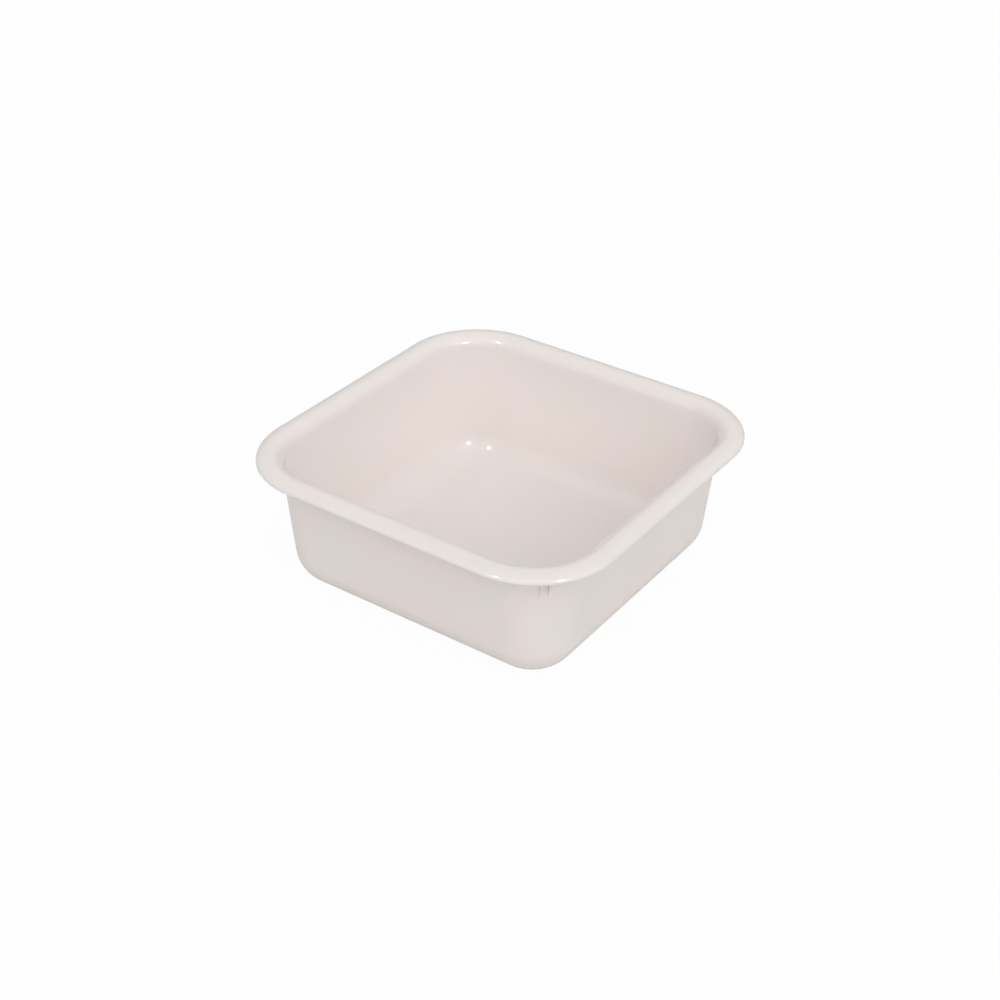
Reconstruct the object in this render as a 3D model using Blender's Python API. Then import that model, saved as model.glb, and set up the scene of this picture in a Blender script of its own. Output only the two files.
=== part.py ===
"""Square washing-up basin, moulded in one piece: a drafted shell with deep rounded corners and a
crowned rim that turns down into a lip. Metres, +Z up, origin at the centre of the face it stands on."""

import math

import bmesh
import bpy
from mathutils import Vector

# Overall sizes
rim_width = 0.340
height = 0.1275
wall = 0.0022
draft = math.radians(6.0)

# Plan radius of the corners, at the rim's edge and where the flat floor ends
rim_corner_radius = 0.0740
floor_corner_radius = 0.0066

# Bottom curve between floor and wall, on the wet side
bottom_radius = 0.0320

# Rim section from the wall outwards: bends as they measure under the rim, on the hidden side
roll_radius = 0.0092
crown_radius = 0.0185
crown_angle = math.radians(29.5)
shoulder_radius = 0.0009
lip_length = 0.0004

# Twin corner ribs, which stiffen the rim and stop stacked basins from jamming
rib_thickness = 0.0016
rib_spacing = 0.0066
rib_drop = 0.0380
rib_setback = 0.0085

# Standing ring under the floor
foot_height = 0.0015
foot_width = 0.0040
foot_chamfer = 0.0006
foot_inset = 0.0060
foot_corner_radius = 0.0260

# Gate mark in the middle of the underside, where the plastic was fed in
gate_radius = 0.0070
gate_height = 0.0006
gate_nub_radius = 0.0015
gate_nub_height = 0.0004

# Facets
corner_steps = 14
bottom_steps = 9
roll_steps = 8
crown_steps = 5
shoulder_steps = 4
edge_steps = 4
gate_steps = 24
smooth_angle = math.radians(35.0)

plastic_colour = (0.830, 0.780, 0.750, 1.0)
plastic_roughness = 0.28


def section():
    """The places of the section's bends, as (distance from the middle plane, height) pairs."""
    rim_half = rim_width / 2
    crown_outer = crown_radius + wall
    shoulder_outer = shoulder_radius + wall
    reach = crown_outer - shoulder_outer
    shoulder_x = rim_half - shoulder_outer
    crown_x = shoulder_x - reach * math.sin(crown_angle)
    crown_z = height - crown_outer
    shoulder_z = crown_z + reach * math.cos(crown_angle)
    roll_outer = roll_radius + wall
    roll_z = height - roll_outer
    # The wet face of the wall leaves the roll here, and falls inwards by the draft.
    wall_x = crown_x - roll_outer * math.cos(draft)
    wall_z = roll_z + roll_outer * math.sin(draft)
    floor_z = foot_height + wall
    bottom_z = floor_z + bottom_radius
    bottom_x = wall_x + ((bottom_z - wall_z) * math.sin(draft) - bottom_radius) / math.cos(draft)
    return {
        "bottom": (bottom_x, bottom_z),
        "roll": (crown_x, roll_z),
        "crown": (crown_x, crown_z),
        "shoulder": (shoulder_x, shoulder_z),
        "floor": floor_z,
        "lip": shoulder_z - lip_length,
    }


bends = section()
floor_half = bends["bottom"][0]


def arc(centre, radius, start, end, steps):
    """Points on an arc. Angles are measured from the outward direction, counter-clockwise."""
    points = []
    for step in range(steps + 1):
        angle = start + (end - start) * step / steps
        points.append((centre[0] + radius * math.cos(angle), centre[1] + radius * math.sin(angle)))
    return points


def skin(depth):
    """The section's line at this depth under the wet face, from the floor's edge to the lip."""
    upright = math.pi / 2
    crown_end = upright - crown_angle
    line = arc(bends["bottom"], bottom_radius + depth, -upright, -draft, bottom_steps)
    line += arc(bends["roll"], roll_radius + wall - depth, math.pi - draft, upright, roll_steps)
    line += arc(bends["crown"], crown_radius + wall - depth, upright, crown_end, crown_steps)[1:]
    line += arc(bends["shoulder"], shoulder_radius + wall - depth, crown_end, 0, shoulder_steps)[1:]
    line.append((line[-1][0], bends["lip"]))
    return line


def corner_centre(z):
    """How far out the plan's corner centres lie at this height: they lean in a little towards the rim."""
    at_floor = floor_half - floor_corner_radius
    at_rim = rim_width / 2 - rim_corner_radius
    share = (z - bends["floor"]) / (height - bends["floor"])
    return at_floor + (at_rim - at_floor) * share


def rounded_square(bm, half, radius, z):
    """A loop of points round a square with rounded corners."""
    loop = []
    for quarter in range(4):
        middle = math.radians(45 + 90 * quarter)
        side_x = math.copysign(half - radius, math.cos(middle))
        side_y = math.copysign(half - radius, math.sin(middle))
        for step in range(corner_steps + 1):
            angle = (quarter + step / corner_steps) * math.pi / 2
            x = side_x + radius * math.cos(angle)
            y = side_y + radius * math.sin(angle)
            loop.append(bm.verts.new((x, y, z)))
    return loop


def bridge(bm, first, second):
    for i in range(len(first)):
        j = (i + 1) % len(first)
        bm.faces.new((first[i], first[j], second[j], second[i]))


def mesh_object(name, bm, material):
    bmesh.ops.recalc_face_normals(bm, faces=bm.faces)
    mesh = bpy.data.meshes.new(name)
    bm.to_mesh(mesh)
    bm.free()
    mesh.materials.append(material)
    obj = bpy.data.objects.new(name, mesh)
    bpy.context.scene.collection.objects.link(obj)
    return obj


def moulded_plastic():
    material = bpy.data.materials.new("moulded_polypropylene")
    material.use_nodes = True
    shader = material.node_tree.nodes["Principled BSDF"]
    shader.inputs["Base Color"].default_value = plastic_colour
    shader.inputs["Roughness"].default_value = plastic_roughness
    shader.inputs["Metallic"].default_value = 0.0
    return material


def make_shell(material):
    """The moulding: up the wet face, over the rim, round the lip's edge and back down the dry face."""
    wet = skin(0)
    dry = skin(wall)
    edge_middle = ((wet[-1][0] + dry[-1][0]) / 2, bends["lip"])
    edge = arc(edge_middle, wall / 2, 0, -math.pi, edge_steps)[1:-1]
    bm = bmesh.new()
    loops = []
    for half, z in wet + edge + dry[::-1]:
        loops.append(rounded_square(bm, half, half - corner_centre(z), z))
    for first, second in zip(loops, loops[1:]):
        bridge(bm, first, second)
    bm.faces.new(loops[0])
    bm.faces.new(loops[-1][::-1])
    shell = mesh_object("basin", bm, material)
    shell.data.shade_smooth()
    shell.data.set_sharp_from_angle(angle=smooth_angle)
    return shell


def make_foot(material):
    """The standing ring, sunk to the middle of the floor's thickness."""
    outer = floor_half - foot_inset
    inner = outer - foot_width
    top = foot_height + wall / 2
    stations = [
        (outer, top),
        (outer, foot_chamfer),
        (outer - foot_chamfer, 0),
        (inner + foot_chamfer, 0),
        (inner, foot_chamfer),
        (inner, top),
    ]
    corner = outer - foot_corner_radius
    bm = bmesh.new()
    loops = [rounded_square(bm, half, half - corner, z) for half, z in stations]
    for first, second in zip(loops, loops[1:] + loops[:1]):
        bridge(bm, first, second)
    return mesh_object("standing_ring", bm, material)


def make_gate(material):
    """The gate mark: a low round pad with the cut-off nub in its middle."""
    pad_z = foot_height - gate_height
    stations = [
        (gate_radius, foot_height + wall / 2),
        (gate_radius, pad_z),
        (gate_nub_radius, pad_z),
        (gate_nub_radius, pad_z - gate_nub_height),
    ]
    bm = bmesh.new()
    loops = []
    for radius, z in stations:
        turns = [2 * math.pi * step / gate_steps for step in range(gate_steps)]
        loops.append([bm.verts.new((radius * math.cos(turn), radius * math.sin(turn), z)) for turn in turns])
    for first, second in zip(loops, loops[1:]):
        bridge(bm, first, second)
    bm.faces.new(loops[0])
    bm.faces.new(loops[-1])
    return mesh_object("gate_mark", bm, material)


def rib_outline():
    """A rib's side: up the middle of the wall, under the crown, and slanting back to its foot."""
    lowest = height - rib_drop
    end_half = rim_width / 2 - rib_setback
    crown_x, crown_z = bends["crown"]
    end_z = crown_z + math.sqrt((crown_radius + wall / 2) ** 2 - (end_half - crown_x) ** 2)
    outline = [(half, z) for half, z in skin(wall / 2) if z > lowest and half < end_half]
    # The wall runs straight below its bend, so the rib's foot is found along the draft.
    top_half, top_z = outline[0]
    foot_half = top_half - (top_z - lowest) * math.tan(draft)
    return [(foot_half, lowest)] + outline + [(end_half, end_z)]


def make_ribs(material):
    """Two upright ribs in the hollow of the rim at each corner, sunk to the middle of the wall."""
    outline = rib_outline()
    bm = bmesh.new()
    for quarter in range(4):
        turn = math.radians(45 + 90 * quarter)
        along = Vector((math.cos(turn), math.sin(turn), 0))
        across = Vector((-math.sin(turn), math.cos(turn), 0))
        for side in (-1, 1):
            near = across * (side * rib_spacing - rib_thickness) / 2
            verts = []
            for half, z in outline:
                centre = corner_centre(z)
                reach = centre * math.sqrt(2) + half - centre
                verts.append(bm.verts.new(along * reach + near + Vector((0, 0, z))))
            face = bm.faces.new(verts)
            grown = bmesh.ops.extrude_face_region(bm, geom=[face])["geom"]
            moved = [item for item in grown if isinstance(item, bmesh.types.BMVert)]
            bmesh.ops.translate(bm, verts=moved, vec=across * rib_thickness)
    return mesh_object("corner_ribs", bm, material)


def join(shell, feature):
    """Makes the feature one body with the shell and keeps it editable as a guide."""
    union = shell.modifiers.new(feature.name, "BOOLEAN")
    union.operation = "UNION"
    union.solver = "EXACT"
    union.object = feature
    feature.hide_render = True
    feature.display_type = "WIRE"


def main():
    for obj in list(bpy.data.objects):
        bpy.data.objects.remove(obj)
    material = moulded_plastic()
    shell = make_shell(material)
    for make in (make_foot, make_gate, make_ribs):
        join(shell, make(material))


main()
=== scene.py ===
import math

import bmesh
import bpy
from mathutils import Matrix, Vector


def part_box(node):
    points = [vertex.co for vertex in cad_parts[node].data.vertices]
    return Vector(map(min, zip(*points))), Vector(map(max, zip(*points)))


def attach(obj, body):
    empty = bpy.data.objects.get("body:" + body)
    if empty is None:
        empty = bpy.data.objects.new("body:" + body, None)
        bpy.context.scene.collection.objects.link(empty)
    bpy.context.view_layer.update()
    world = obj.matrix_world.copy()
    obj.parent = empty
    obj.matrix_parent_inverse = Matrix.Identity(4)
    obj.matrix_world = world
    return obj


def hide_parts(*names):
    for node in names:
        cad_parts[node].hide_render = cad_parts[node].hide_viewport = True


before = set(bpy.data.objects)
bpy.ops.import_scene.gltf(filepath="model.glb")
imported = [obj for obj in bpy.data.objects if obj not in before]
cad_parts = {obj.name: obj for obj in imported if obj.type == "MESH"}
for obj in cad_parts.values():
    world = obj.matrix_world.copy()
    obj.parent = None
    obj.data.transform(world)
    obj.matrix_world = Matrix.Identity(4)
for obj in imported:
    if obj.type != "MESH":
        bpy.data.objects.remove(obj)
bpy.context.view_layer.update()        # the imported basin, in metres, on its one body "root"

mm = 0.001


# Small helpers that everything below uses

def linearColour(hexCode):
    # sRGB hex to the linear values that shaders take
    channels = [int(hexCode[i:i + 2], 16) / 255 for i in (1, 3, 5)]
    return [c / 12.92 if c <= 0.04045 else ((c + 0.055) / 1.055) ** 2.4 for c in channels] + [1.0]


def addNode(tree, kind, inputs=None, **settings):
    # inputs gives each socket a plain value or another node's output to link from
    node = tree.nodes.new(kind)
    for name, value in settings.items():
        setattr(node, name, value)
    for socket, value in (inputs or {}).items():
        if isinstance(value, bpy.types.NodeSocket):
            tree.links.new(value, node.inputs[socket])
        else:
            node.inputs[socket].default_value = value
    return node


def emptyTree(owner):
    owner.use_nodes = True
    owner.node_tree.nodes.clear()
    return owner.node_tree


def direction(azimuthDeg, elevationDeg):
    # azimuth 0 points at the viewer's side, -Y, and 90 at +X
    azimuth, elevation = math.radians(azimuthDeg), math.radians(elevationDeg)
    flat = math.cos(elevation)
    return Vector((math.sin(azimuth) * flat, -math.cos(azimuth) * flat, math.sin(elevation)))


def toObject(name, bm):
    mesh = bpy.data.meshes.new(name)
    bm.to_mesh(mesh)
    bm.free()
    made = bpy.data.objects.new(name, mesh)
    bpy.context.scene.collection.objects.link(made)
    return made


def arc(centre, radius, start, end, steps):
    turns = [start + (end - start) * step / steps for step in range(steps + 1)]
    return [
        (centre[0] + radius * math.cos(turn), centre[1] + radius * math.sin(turn))
        for turn in turns
    ]


def straight(start, end, steps):
    # the points between the ends of a straight run
    shares = [step / steps for step in range(1, steps)]
    return [
        (start[0] + (end[0] - start[0]) * share, start[1] + (end[1] - start[1]) * share)
        for share in shares
    ]


def roundedSquare(bm, half, radius, z, cornerSteps, sideSteps):
    # a ring of points round a square with rounded corners, or a circle where radius equals half
    ring = []
    for quarter in range(4):
        middle = math.radians(45 + 90 * quarter)
        centreX = math.copysign(half - radius, math.cos(middle))
        centreY = math.copysign(half - radius, math.sin(middle))
        for step in range(cornerSteps + 1):
            turn = (quarter + step / cornerSteps) * math.pi / 2
            x = centreX + radius * math.cos(turn)
            y = centreY + radius * math.sin(turn)
            ring.append(Vector((x, y, z)))
        along = Vector((-math.sin(turn), math.cos(turn), 0)) * 2 * (half - radius)
        corner = ring[-1]
        ring += [corner + along * side / sideSteps for side in range(1, sideSteps)]
    return [bm.verts.new(point) for point in ring]


def bridge(bm, first, second):
    for i in range(len(first)):
        j = (i + 1) % len(first)
        bm.faces.new((first[i], first[j], second[j], second[i]))


# The basin's shell, as rings of one drawn section. The radii of the rim are those of its hidden
# dry side, and the bottom's is that of the wet side.

basin = {
    "rimWidth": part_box("basin")[1].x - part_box("basin")[0].x,
    "height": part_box("basin")[1].z,
    "wall": 2.2 * mm,
    "draftDeg": 6.0,
    "rimCornerRadius": 74.0 * mm,      # in plan, at the rim's edge
    "floorCornerRadius": 6.6 * mm,     # in plan, where the flat floor ends
    "bottomRadius": 32.0 * mm,
    "rollRadius": 9.2 * mm,            # from the wall up into the rim
    "crownRadius": 18.5 * mm,          # over the rim
    "crownDeg": 29.5,                  # how far the crown slopes down at its outer edge
    "shoulderRadius": 0.9 * mm,        # from the crown down into the lip
    "lipLength": 0.4 * mm,
    "flash": 0.12 * mm,                # the fine ridge that the mould's parting leaves on the lip
    "cornerSteps": 48,
    "sideSteps": 20,
    "bottomSteps": 22,
    "wallSteps": 12,
    "rollSteps": 18,
    "crownSteps": 14,
    "shoulderSteps": 8,
    "edgeSteps": 12,
    # the flat floor's rings, as shares of its width
    "floorShares": (0.03, 0.1, 0.2, 0.32, 0.45, 0.6, 0.75, 0.88, 0.96),
    "weldDistance": 0.002 * mm,        # closer points are one, as where two arcs meet
    "sharpDeg": 35.0,                  # edges that turn further stay crisp
}


def sectionBends(b, foot):
    # the centres of the section's bends, as (distance from the middle plane, height)
    rimHalf = b["rimWidth"] / 2
    draft, crown = math.radians(b["draftDeg"]), math.radians(b["crownDeg"])
    reach = b["crownRadius"] - b["shoulderRadius"]
    shoulderX = rimHalf - b["shoulderRadius"] - b["wall"]
    crownX = shoulderX - reach * math.sin(crown)
    crownZ = b["height"] - b["crownRadius"] - b["wall"]
    rollOuter = b["rollRadius"] + b["wall"]
    rollZ = b["height"] - rollOuter
    wallX = crownX - rollOuter * math.cos(draft)
    wallZ = rollZ + rollOuter * math.sin(draft)
    floorZ = foot["height"] + b["wall"]
    bottomZ = floorZ + b["bottomRadius"]
    run = (bottomZ - wallZ) * math.sin(draft) - b["bottomRadius"]
    shoulderZ = crownZ + reach * math.cos(crown)
    return {
        "bottom": (wallX + run / math.cos(draft), bottomZ),
        "roll": (crownX, rollZ),
        "crown": (crownX, crownZ),
        "shoulder": (shoulderX, shoulderZ),
        "floorZ": floorZ,
        "lipZ": shoulderZ - b["lipLength"],
    }


def skinLine(b, bends, depth):
    # the section at this depth under the wet face, from the floor's edge to the lip
    upright = math.pi / 2
    draft, crown = math.radians(b["draftDeg"]), math.radians(b["crownDeg"])
    rollRadius = b["rollRadius"] + b["wall"] - depth
    crownRadius = b["crownRadius"] + b["wall"] - depth
    shoulderRadius = b["shoulderRadius"] + b["wall"] - depth
    line = arc(bends["bottom"], b["bottomRadius"] + depth, -upright, -draft, b["bottomSteps"])
    roll = arc(bends["roll"], rollRadius, math.pi - draft, upright, b["rollSteps"])
    line += straight(line[-1], roll[0], b["wallSteps"]) + roll
    line += arc(bends["crown"], crownRadius, upright, upright - crown, b["crownSteps"])[1:]
    line += arc(bends["shoulder"], shoulderRadius, upright - crown, 0, b["shoulderSteps"])[1:]
    return line + [(line[-1][0], bends["lipZ"])]


def cornerCentre(b, bends, z):
    # the corners' centres lean in a little towards the rim
    atFloor = bends["bottom"][0] - b["floorCornerRadius"]
    atRim = b["rimWidth"] / 2 - b["rimCornerRadius"]
    return atFloor + (atRim - atFloor) * (z - bends["floorZ"]) / (b["height"] - bends["floorZ"])


def flatRing(edge, edgeRadius, share, z):
    # a ring inside a flat square, rounder the further in it lies
    half = edge * share
    return half, min(half, half * (1 - share) + edgeRadius * share), z


def floorRings(b, bends, z):
    # the flat floor from its middle to its edge
    edge = bends["bottom"][0]
    return [flatRing(edge, b["floorCornerRadius"], share, z) for share in b["floorShares"]]


# Under the floor: the ring that the basin stands on, and the mark where the plastic was fed in

standingRing = {
    "height": 1.5 * mm,
    "width": 4.0 * mm,
    "inset": 6.0 * mm,                 # from the flat floor's edge
    "cornerRadius": 26.0 * mm,
    "rounding": 0.6 * mm,
    "roundingSteps": 5,
    "fillet": 1.2 * mm,                # into the floor
    # the rings inside it, as shares of its width
    "flatShares": (0.93, 0.8, 0.62, 0.45, 0.3, 0.18),
}

gateMark = {
    "radius": 7.0 * mm,
    "height": 0.6 * mm,
    "nubRadius": 1.5 * mm,
    "nubHeight": 0.4 * mm,
    "chamfer": 0.15 * mm,
}


def ringSection(foot, outer, inner):
    # down one side of the standing ring and up the other, with a fillet into the floor at each end
    fillet, soft, steps = foot["fillet"], foot["rounding"], foot["roundingSteps"]
    filletZ = foot["height"] - fillet
    quarter = math.pi / 2
    front = arc((outer + fillet, filletZ), fillet, quarter, 2 * quarter, steps)
    back = arc((inner - fillet, filletZ), fillet, 0, quarter, steps)
    line = [(half, max(z, soft)) for half, z in front]
    line += arc((outer - soft, soft), soft, 0, -quarter, steps)
    line += arc((inner + soft, soft), soft, -quarter, -2 * quarter, steps)
    return line + [(half, max(z, soft)) for half, z in back]


def gateRings(gate, floorZ):
    # a low round pad with the cut-off nub in its middle, edges and inner corners chamfered
    padZ = floorZ - gate["height"]
    nubZ = padZ - gate["nubHeight"]
    chamfer = gate["chamfer"]
    line = [
        (gate["radius"] + chamfer, floorZ),
        (gate["radius"], floorZ - chamfer),
        (gate["radius"], padZ + chamfer),
        (gate["radius"] - chamfer, padZ),
        (gate["nubRadius"] + chamfer, padZ),
        (gate["nubRadius"], padZ - chamfer),
        (gate["nubRadius"], nubZ + chamfer),
        (gate["nubRadius"] - chamfer, nubZ),
    ]
    return [(radius, radius, z) for radius, z in line]


def undersideRings(bends, foot, gate):
    # the dry side of the floor from its edge inwards: standing ring, flat middle, gate mark
    floorZ = foot["height"]
    outer = bends["bottom"][0] - foot["inset"]
    centre = outer - foot["cornerRadius"]
    line = ringSection(foot, outer, outer - foot["width"])
    rings = [(half, half - centre, z) for half, z in line]
    flatEdge, edgeRadius = rings[-1][:2]
    rings += [flatRing(flatEdge, edgeRadius, share, floorZ) for share in foot["flatShares"]]
    return rings + gateRings(gate, floorZ)


def buildShell(b, bends, foot, gate):
    # out from the floor's middle, up the wet side, round the lip and back down the dry side
    wet = skinLine(b, bends, 0)
    dry = skinLine(b, bends, b["wall"])
    middle = ((wet[-1][0] + dry[-1][0]) / 2, bends["lipZ"])
    edge = arc(middle, b["wall"] / 2, 0, -math.pi, b["edgeSteps"])[1:-1]
    lowest = len(edge) // 2
    edge[lowest] = (edge[lowest][0], edge[lowest][1] - b["flash"])
    line = wet + edge + dry[::-1]
    rings = floorRings(b, bends, bends["floorZ"])
    rings += [(half, half - cornerCentre(b, bends, z), z) for half, z in line]
    rings += undersideRings(bends, foot, gate)
    bm = bmesh.new()
    loops = [roundedSquare(bm, *ring, b["cornerSteps"], b["sideSteps"]) for ring in rings]
    for first, second in zip(loops, loops[1:]):
        bridge(bm, first, second)
    bm.faces.new(loops[0])
    bm.faces.new(loops[-1][::-1])
    bmesh.ops.remove_doubles(bm, verts=bm.verts, dist=b["weldDistance"])
    bmesh.ops.recalc_face_normals(bm, faces=bm.faces)
    return bm


bends = sectionBends(basin, standingRing)
shell = toObject("basin_moulding", buildShell(basin, bends, standingRing, gateMark))
print("shell:", len(shell.data.polygons), "faces")


# Twin upright ribs in the hollow of the rim at each corner, of one moulding with the shell

cornerRibs = {
    "thickness": 1.6 * mm,
    "spacing": 6.6 * mm,               # between the middles of a corner's two ribs
    "drop": 38.0 * mm,                 # how far they reach down from the rim's top
    "setback": 8.5 * mm,               # from the rim's edge to where they end under the crown
    "edgeRounding": 0.4 * mm,
    "edgeSteps": 4,
    "edgeProfile": 0.5,                # a plain round edge
}


def ribOutline(b, bends, ribs):
    # up the middle of the wall and under the crown; the free edge slants straight back down
    lowest = b["height"] - ribs["drop"]
    endX = b["rimWidth"] / 2 - ribs["setback"]
    crownX, crownZ = bends["crown"]
    endZ = crownZ + math.sqrt((b["crownRadius"] + b["wall"] / 2) ** 2 - (endX - crownX) ** 2)
    line = [(x, z) for x, z in skinLine(b, bends, b["wall"] / 2) if z > lowest and x < endX]
    footX = line[0][0] - (line[0][1] - lowest) * math.tan(math.radians(b["draftDeg"]))
    return [(footX, lowest)] + line + [(endX, endZ)]


def buildRibs(b, bends, ribs):
    outline = ribOutline(b, bends, ribs)
    bm = bmesh.new()
    for quarter in range(4):
        turn = math.radians(45 + 90 * quarter)
        along = Vector((math.cos(turn), math.sin(turn), 0))
        across = Vector((-math.sin(turn), math.cos(turn), 0))
        for side in (-1, 1):
            near, far = [], []
            for x, z in outline:
                centre = cornerCentre(b, bends, z)
                place = along * (centre * math.sqrt(2) + x - centre) + Vector((0, 0, z))
                place += across * side * ribs["spacing"] / 2
                near.append(bm.verts.new(place - across * ribs["thickness"] / 2))
                far.append(bm.verts.new(place + across * ribs["thickness"] / 2))
            bm.faces.new(near)
            bm.faces.new(far[::-1])
            bridge(bm, near, far)
            freeEdges = [bm.edges.get((row[0], row[-1])) for row in (near, far)]
            bmesh.ops.bevel(
                bm,
                geom=freeEdges,
                offset=ribs["edgeRounding"],
                segments=ribs["edgeSteps"],
                affect="EDGES",
                profile=ribs["edgeProfile"],
            )
    bmesh.ops.recalc_face_normals(bm, faces=bm.faces)
    return bm


def uniteWith(target, tool):
    # one closed moulding, so the tool's own object goes
    union = target.modifiers.new("union", "BOOLEAN")
    union.operation, union.solver, union.object = "UNION", "EXACT", tool
    bpy.context.view_layer.update()
    depsgraph = bpy.context.evaluated_depsgraph_get()
    united = bpy.data.meshes.new_from_object(target.evaluated_get(depsgraph))
    target.modifiers.remove(union)
    target.data = united
    bpy.data.objects.remove(tool)


uniteWith(shell, toObject("corner_ribs", buildRibs(basin, bends, cornerRibs)))
shell.data.shade_smooth()
shell.data.set_sharp_from_angle(angle=math.radians(basin["sharpDeg"]))
print("shell with its corner ribs:", len(shell.data.polygons), "faces")


# Moulded polypropylene, off-white, from a polished mould: a soft gloss, slightly wavy where the
# plastic shrank as it cooled, and light goes a little way in, which softens the shade in corners

polypropylene = {
    "name": "moulded_polypropylene",
    "colour": "#F2EBE9",
    "warmerColour": "#F1EAE6",
    "ior": 1.49,
    "roughness": 0.15,
    "roughnessSpread": 0.03,
    "scuffedRoughness": 0.5,           # under the standing ring, rubbed on worktops
    "scuffStart": 0.8 * mm,            # the rubbing starts below this height
    "scuffFull": 0.1 * mm,
    "subsurface": 0.5,
    "subsurfaceDepth": 3.0 * mm,
    "subsurfaceTint": (1.0, 0.9, 0.85),
    # slow drift of the gloss and tint over the moulding; its noise lies between low and high
    "mottle": {"size": 45.0 * mm, "detail": 3.0, "low": 0.3, "high": 0.7},
    # shrink waves in the skin
    "waves": {"size": 14.0 * mm, "detail": 1.0, "depth": 0.06 * mm},
    # mould polish, really under 1 mm: drawn coarser, so that it shows
    "peel": {"size": 2.4 * mm, "detail": 2.0, "depth": 0.004 * mm},
}


def mouldedPolypropylene(p):
    material = bpy.data.materials.new(p["name"])
    tree = emptyTree(material)
    place = addNode(tree, "ShaderNodeTexCoord").outputs["Object"]
    mottle, waves, peel = [
        addNode(tree, "ShaderNodeTexNoise", {
            "Vector": place,
            "Scale": 1 / pattern["size"],
            "Detail": pattern["detail"],
        }).outputs["Fac"]
        for pattern in (p["mottle"], p["waves"], p["peel"])
    ]
    tint = addNode(tree, "ShaderNodeMix", {
        "Factor": mottle,
        "A": linearColour(p["colour"]),
        "B": linearColour(p["warmerColour"]),
    }, data_type="RGBA")
    gloss = addNode(tree, "ShaderNodeMapRange", {
        "Value": mottle,
        "From Min": p["mottle"]["low"],
        "From Max": p["mottle"]["high"],
        "To Min": p["roughness"] - p["roughnessSpread"] / 2,
        "To Max": p["roughness"] + p["roughnessSpread"] / 2,
    })
    height = addNode(tree, "ShaderNodeSeparateXYZ", {"Vector": place}).outputs["Z"]
    scuff = addNode(tree, "ShaderNodeMapRange", {
        "Value": height,
        "From Min": p["scuffStart"],
        "From Max": p["scuffFull"],
    }, interpolation_type="SMOOTHSTEP")
    roughness = addNode(tree, "ShaderNodeMix", {
        "Factor": scuff.outputs["Result"],
        "A": gloss.outputs["Result"],
        "B": p["scuffedRoughness"],
    })
    wavy = addNode(tree, "ShaderNodeBump", {"Height": waves, "Distance": p["waves"]["depth"]})
    skin = addNode(tree, "ShaderNodeBump", {
        "Height": peel,
        "Distance": p["peel"]["depth"],
        "Normal": wavy.outputs["Normal"],
    })
    shader = addNode(tree, "ShaderNodeBsdfPrincipled", {
        "Base Color": tint.outputs["Result"],
        "Roughness": roughness.outputs["Result"],
        "IOR": p["ior"],
        "Subsurface Weight": p["subsurface"],
        "Subsurface Radius": p["subsurfaceTint"],
        "Subsurface Scale": p["subsurfaceDepth"],
        "Normal": skin.outputs["Normal"],
    })
    addNode(tree, "ShaderNodeOutputMaterial", {"Surface": shader.outputs["BSDF"]})
    return material


shell.data.materials.clear()
shell.data.materials.append(mouldedPolypropylene(polypropylene))
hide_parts("basin")
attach(shell, "root")
print("material:", polypropylene["name"])


# Studio: a white paper sweep in a white room. Its light is brightest in front and on the right,
# and dimmer low on the horizon and overhead to the left.

studio = {
    "ambient": 0.91,
    "horizonDeg": 29.0,                # the light grows to full here
    "horizonLevel": 0.25,              # from this share of it at floor level
    "brightPatches": [                 # the narrow one gives the soft shade inside on the right
        {"azimuthDeg": 46.0, "elevationDeg": 36.0, "spreadDeg": 78.0, "strength": 0.58},
        {"azimuthDeg": 10.0, "elevationDeg": 40.0, "spreadDeg": 60.0, "strength": 0.4},
        {"azimuthDeg": 75.0, "elevationDeg": 30.0, "spreadDeg": 20.0, "strength": 1.7},
    ],
    "dimPatch": {"azimuthDeg": -79.0, "elevationDeg": 78.0, "spreadDeg": 47.0, "strength": 0.4},
    "floorSize": 8.0,
    "floorCells": 8,
    "floorColour": "#E2E0DF",
    "floorWhite": 0.97,                # how far the camera sees the floor as plain white paper
    "mirroredWhite": 0.25,             # how far reflections see the white: edges stay a bit dark
}


def seenWhite(tree, s):
    # how far a ray meets one plain tone, white on the floor and light grey in the room behind:
    # in full from the camera and through clear things, and in part as a reflection
    path = addNode(tree, "ShaderNodeLightPath")
    direct = addNode(tree, "ShaderNodeMath", {
        0: path.outputs["Is Camera Ray"],
        1: path.outputs["Is Transmission Ray"],
    }, operation="MAXIMUM")
    mirrored = addNode(tree, "ShaderNodeMath", {
        0: path.outputs["Is Glossy Ray"],
        1: s["mirroredWhite"],
    }, operation="MULTIPLY")
    either = addNode(tree, "ShaderNodeMath", {
        0: direct.outputs[0],
        1: mirrored.outputs[0],
    }, operation="MAXIMUM")
    return either.outputs[0]


def paperFloor(s):
    bm = bmesh.new()
    cells = s["floorCells"]
    bmesh.ops.create_grid(bm, x_segments=cells, y_segments=cells, size=s["floorSize"] / 2)
    floor = toObject("studio_floor", bm)
    material = bpy.data.materials.new("white_paper_sweep")
    tree = emptyTree(material)
    paper = addNode(tree, "ShaderNodeBsdfDiffuse", {"Color": linearColour(s["floorColour"])})
    white = addNode(tree, "ShaderNodeEmission", {"Strength": 1.0})
    share = addNode(tree, "ShaderNodeMath", {
        0: seenWhite(tree, s),
        1: s["floorWhite"],
    }, operation="MULTIPLY")
    lit = addNode(tree, "ShaderNodeMixShader", {
        0: share.outputs[0],
        1: paper.outputs[0],
        2: white.outputs[0],
    })
    addNode(tree, "ShaderNodeOutputMaterial", {"Surface": lit.outputs[0]})
    floor.data.materials.append(material)
    return floor


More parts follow.
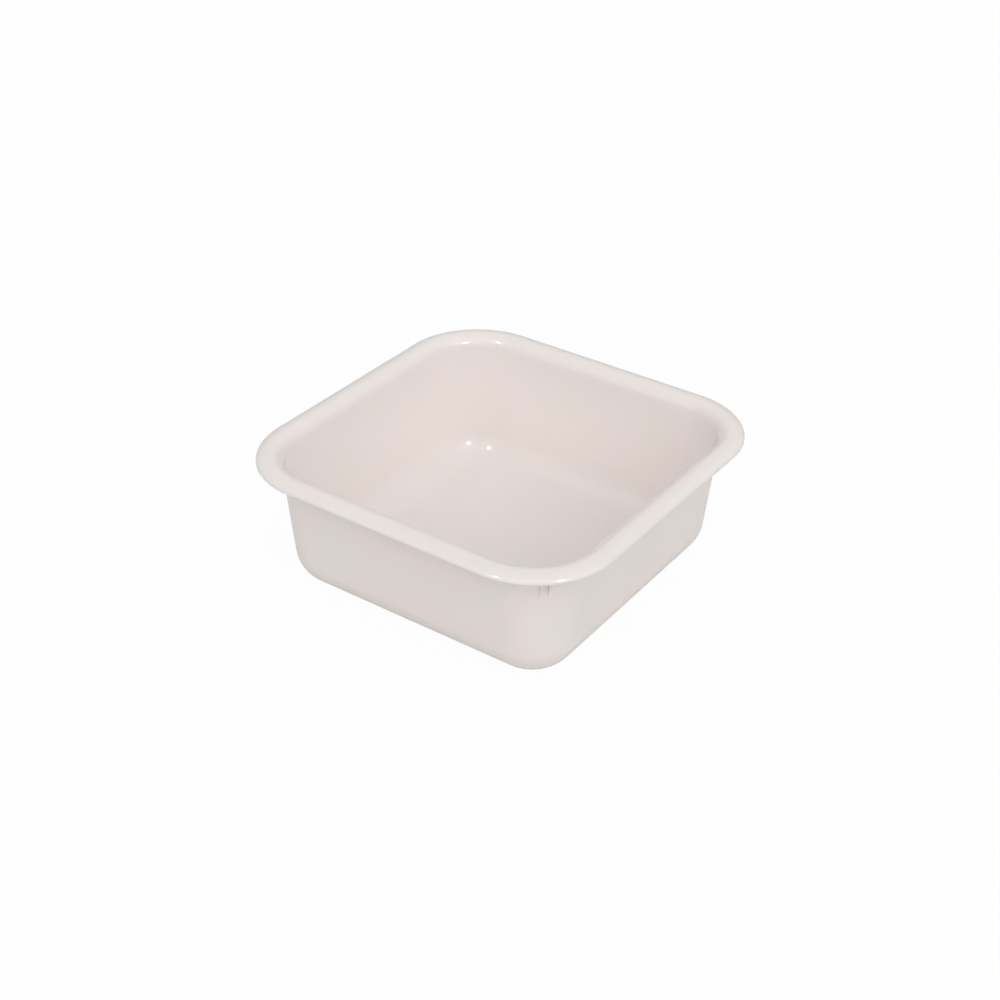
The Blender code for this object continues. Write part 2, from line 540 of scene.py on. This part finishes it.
def softPatch(tree, towards, patch):
    # 1 in the patch's middle, fading smoothly to 0 at its spread
    dot = addNode(tree, "ShaderNodeVectorMath", {
        0: towards,
        1: direction(patch["azimuthDeg"], patch["elevationDeg"]),
    }, operation="DOT_PRODUCT")
    fade = addNode(tree, "ShaderNodeMapRange", {
        "Value": dot.outputs["Value"],
        "From Min": math.cos(math.radians(patch["spreadDeg"])),
        "From Max": 1.0,
    }, interpolation_type="SMOOTHSTEP")
    return fade.outputs["Result"]


def whiteRoom(s):
    world = bpy.data.worlds.new("white_room")
    bpy.context.scene.world = world
    tree = emptyTree(world)
    towards = addNode(tree, "ShaderNodeTexCoord").outputs["Generated"]
    height = addNode(tree, "ShaderNodeSeparateXYZ", {"Vector": towards}).outputs["Z"]
    rise = addNode(tree, "ShaderNodeMapRange", {
        "Value": height,
        "From Min": 0.0,
        "From Max": math.sin(math.radians(s["horizonDeg"])),
        "To Min": s["horizonLevel"],
    }, interpolation_type="SMOOTHSTEP")
    bright = s["ambient"]
    for patch in s["brightPatches"]:
        bright = addNode(tree, "ShaderNodeMath", {
            0: softPatch(tree, towards, patch),
            1: patch["strength"],
            2: bright,
        }, operation="MULTIPLY_ADD").outputs[0]
    dimmed = addNode(tree, "ShaderNodeMath", {
        0: softPatch(tree, towards, s["dimPatch"]),
        1: -s["dimPatch"]["strength"],
        2: 1.0,
    }, operation="MULTIPLY_ADD")
    shaped = addNode(tree, "ShaderNodeMath", {
        0: bright,
        1: dimmed.outputs[0],
    }, operation="MULTIPLY")
    level = addNode(tree, "ShaderNodeMath", {
        0: shaped.outputs[0],
        1: rise.outputs["Result"],
    }, operation="MULTIPLY")
    # both keep the node's own light grey, which the levels above allow for
    soft = addNode(tree, "ShaderNodeBackground", {"Strength": level.outputs[0]})
    plain = addNode(tree, "ShaderNodeBackground", {"Strength": 1.0})
    mixed = addNode(tree, "ShaderNodeMixShader", {
        0: seenWhite(tree, s),
        1: soft.outputs[0],
        2: plain.outputs[0],
    })
    addNode(tree, "ShaderNodeOutputWorld", {"Surface": mixed.outputs[0]})


paperFloor(studio)
whiteRoom(studio)
print("studio: white room with", len(studio["brightPatches"]), "bright patches")


# Two small lamps, whose reflections sit on the near and far corners

lamps = [
    {
        "name": "lamp_right",
        "azimuthDeg": 64.7,
        "elevationDeg": 32.5,
        "away": 1.4,
        "size": 0.11,
        "watts": 5.5,
    },
    {
        "name": "lamp_left",
        "azimuthDeg": -12.0,
        "elevationDeg": 42.0,
        "away": 2.7,
        "size": 0.19,
        "watts": 17.0,
    },
]


def addLamp(lamp):
    light = bpy.data.lights.new(lamp["name"], "AREA")
    light.shape = "DISK"
    light.size = lamp["size"]
    light.energy = lamp["watts"]
    made = bpy.data.objects.new(lamp["name"], light)
    away = direction(lamp["azimuthDeg"], lamp["elevationDeg"])
    made.location = away * lamp["away"]
    made.rotation_mode = "QUATERNION"
    made.rotation_quaternion = away.to_track_quat("Z", "Y")
    made.visible_diffuse = False       # the room gives the light, a lamp only its reflections
    bpy.context.scene.collection.objects.link(made)


for lamp in lamps:
    addLamp(lamp)
print("studio:", len(lamps), "lamps")


# Camera, where the photograph was taken from

view = {
    "azimuthDeg": 34.81,
    "elevationDeg": 32.69,
    "rollDeg": 0.77,
    "place": (0.7177, -1.0365, 0.8733),
    "lensMm": 61.96,
    "sensorMm": 36.0,
}


def addCamera(v):
    data = bpy.data.cameras.new("camera")
    data.lens, data.sensor_width = v["lensMm"], v["sensorMm"]
    camera = bpy.data.objects.new("camera", data)
    azimuth = math.radians(v["azimuthDeg"])
    back = direction(v["azimuthDeg"], v["elevationDeg"])
    right = Vector((math.cos(azimuth), math.sin(azimuth), 0))
    axes = Matrix((right, back.cross(right), back)).transposed().to_4x4()
    roll = Matrix.Rotation(math.radians(v["rollDeg"]), 4, "Z")
    camera.matrix_world = Matrix.Translation(v["place"]) @ axes @ roll
    bpy.context.scene.collection.objects.link(camera)
    bpy.context.scene.camera = camera


addCamera(view)
bpy.context.scene.view_settings.view_transform = "Standard"
print("camera: in place")
